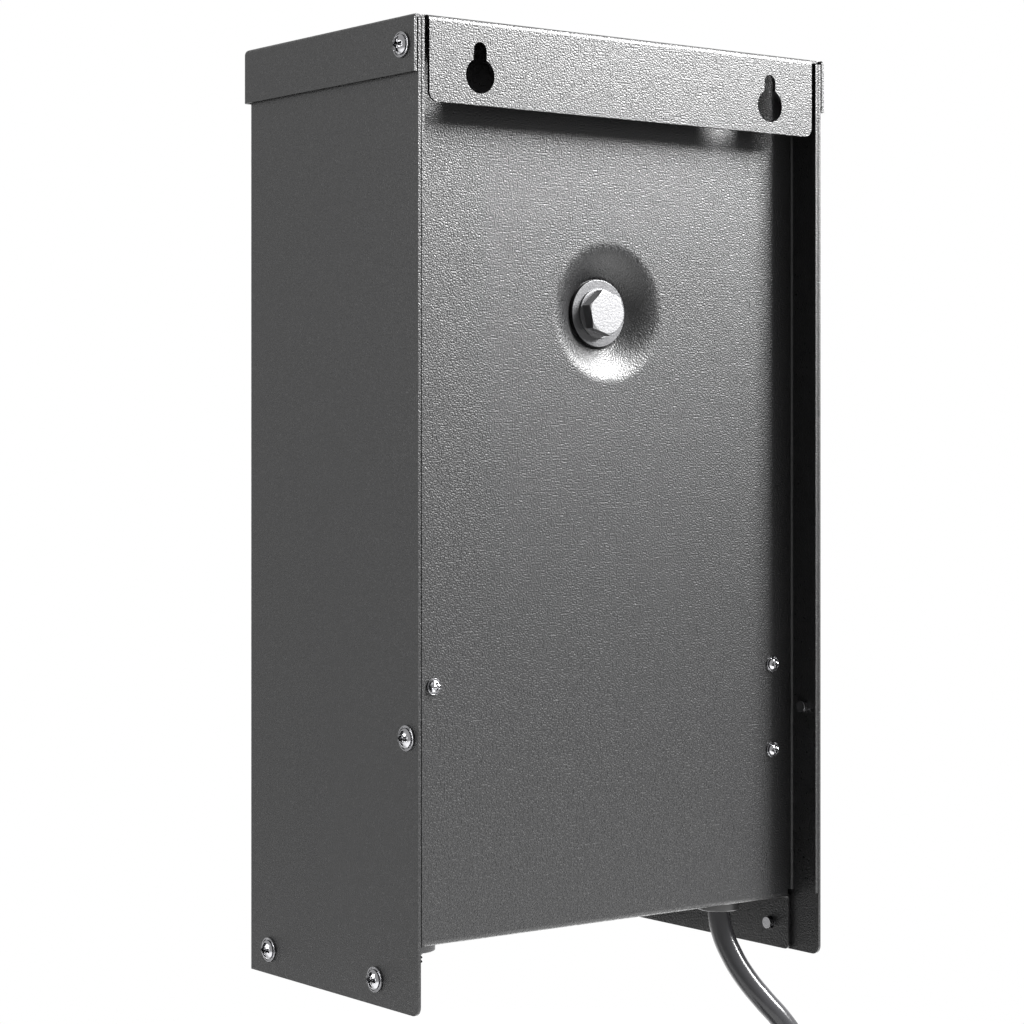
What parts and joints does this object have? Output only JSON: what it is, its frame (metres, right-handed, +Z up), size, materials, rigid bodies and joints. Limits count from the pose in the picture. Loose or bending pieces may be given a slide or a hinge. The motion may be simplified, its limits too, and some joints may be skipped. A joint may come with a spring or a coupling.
{
  "type": "low voltage landscape transformer",
  "caption": "Wall-hung toroidal transformer in a folded sheet metal case, with hinged access door, timer, terminals, reset breaker and coiled supply cord.",
  "frame": {"origin": "on the wall plane, midway between the round parts of the two keyholes", "axes": "+Y to the wall, -Y the front with its door, +Z up, +X to the right seen from the front"},
  "size_m": [0.1782, 0.1148, 0.516],
  "materials": {
    "case_coat": "fine-textured satin powder coat",
    "inner_coat": "fine-textured satin powder coat",
    "door_coat": "fine-textured satin powder coat",
    "hinge_coat": "satin powder coat",
    "zinc": "bright zinc plating",
    "screw_steel": "dark zinc plating",
    "hinge_steel": "satin",
    "gasket_foam": "matt foam",
    "latch_metal": "satin",
    "latch_plastic": "matt",
    "core_steel": "wound strip steel",
    "copper_wire": "enamelled copper",
    "tape_film": "yellow polyester film",
    "pad_rubber": "matt",
    "panel_aluminium": "satin",
    "timer_plastic": "fine matt",
    "lens_plastic": "clear",
    "display_glass": "grey-green",
    "board_green": "solder mask",
    "relay_blue": "gloss",
    "button_grey": "matt",
    "button_orange": "matt",
    "terminal_plastic": "matt phenolic",
    "brass": "plain",
    "breaker_plastic": "satin",
    "reset_red": "gloss",
    "gland_nylon": "satin",
    "green_zinc": "green passivated",
    "lead_cover": "vinyl",
    "bare_lead": "vinyl",
    "cord_cover": "satin vinyl",
    "tie_nylon": "nylon",
    "plug_vinyl": "satin vinyl",
    "blade_brass": "nickel plate"
  },
  "bodies": {
    "case": {"outer_wrap": "case_coat", "back_chassis": "inner_coat", "top_cap": "case_coat", "case_screws": "screw_steel", "frame_hinge_leaves": "hinge_coat", "hinge_pins": "hinge_steel", "hinge_rivets": "hinge_coat", "toroid_core": "core_steel", "primary_winding": "copper_wire", "secondary_winding": "copper_wire", "outer_tape": "tape_film", "rear_pad": "pad_rubber", "front_pad": "pad_rubber", "clamp_plate": "zinc", "centre_bolt": "zinc", "bolt_washers": "zinc", "clamp_nut": "zinc", "control_panel": "panel_aluminium", "panel_screws": "screw_steel", "timer_front": "timer_plastic", "timer_back": "timer_plastic", "timer_lens": "lens_plastic", "timer_display": "display_glass", "timer_board": "board_green", "timer_relay": "relay_blue", "timer_battery": "zinc", "button_switches": "screw_steel", "terminal_block": "terminal_plastic", "terminal_clamps": "brass", "terminal_screws": "zinc", "block_screws": "zinc", "breaker_body": "breaker_plastic", "breaker_nut": "breaker_plastic", "breaker_blades": "zinc", "strain_relief": "gland_nylon", "cable_grommet": "pad_rubber", "ground_screw": "green_zinc", "ground_lug": "zinc", "supply_leads": "lead_cover", "secondary_leads": "bare_lead", "supply_cord_run": "cord_cover", "supply_cord_coil": "cord_cover", "supply_cord_tail": "cord_cover", "cord_ties": "tie_nylon", "plug_body": "plug_vinyl", "plug_blades": "blade_brass", "plug_ground_pin": "blade_brass"},
    "door": {"door_panel": "door_coat", "door_gasket": "gasket_foam", "door_hinge_leaves": "hinge_coat", "latch_housing": "latch_metal", "latch_nut": "latch_metal"},
    "latch": {"latch_knob": "latch_plastic", "latch_cam": "hinge_steel", "latch_screw": "hinge_steel"},
    "reset_button": {"breaker_button": "reset_red"},
    "set_key": {"set_button": "button_grey"},
    "up_key": {"up_button": "button_grey"},
    "down_key": {"down_button": "button_grey"},
    "mode_key": {"mode_button": "button_orange"}
  },
  "joints": [
    {"name": "door_hinge", "type": "hinge", "parent": "case", "child": "door", "pos_m": [-0.0699, -0.0999, -0.1969], "axis": [0, 0, -1], "range_deg": [0, 110]},
    {"name": "latch_turn", "type": "hinge", "parent": "door", "child": "latch", "pos_m": [0.046, -0.1, -0.1969], "axis": [0, 1, 0], "range_deg": [-90, 0]},
    {"name": "reset_press", "type": "slide", "parent": "case", "child": "reset_button", "axis": [0, 0, 1], "range_m": [0, 0.002], "stiffness_N_per_m": 400, "springref_m": -0.002},
    {"name": "set_press", "type": "slide", "parent": "case", "child": "set_key", "axis": [0, 1, 0], "range_m": [0, 0.0008], "stiffness_N_per_m": 400, "springref_m": -0.002},
    {"name": "up_press", "type": "slide", "parent": "case", "child": "up_key", "axis": [0, 1, 0], "range_m": [0, 0.0008], "stiffness_N_per_m": 400, "springref_m": -0.002},
    {"name": "down_press", "type": "slide", "parent": "case", "child": "down_key", "axis": [0, 1, 0], "range_m": [0, 0.0008], "stiffness_N_per_m": 400, "springref_m": -0.002},
    {"name": "mode_press", "type": "slide", "parent": "case", "child": "mode_key", "axis": [0, 1, 0], "range_m": [0, 0.0008], "stiffness_N_per_m": 400, "springref_m": -0.002}
  ]
}
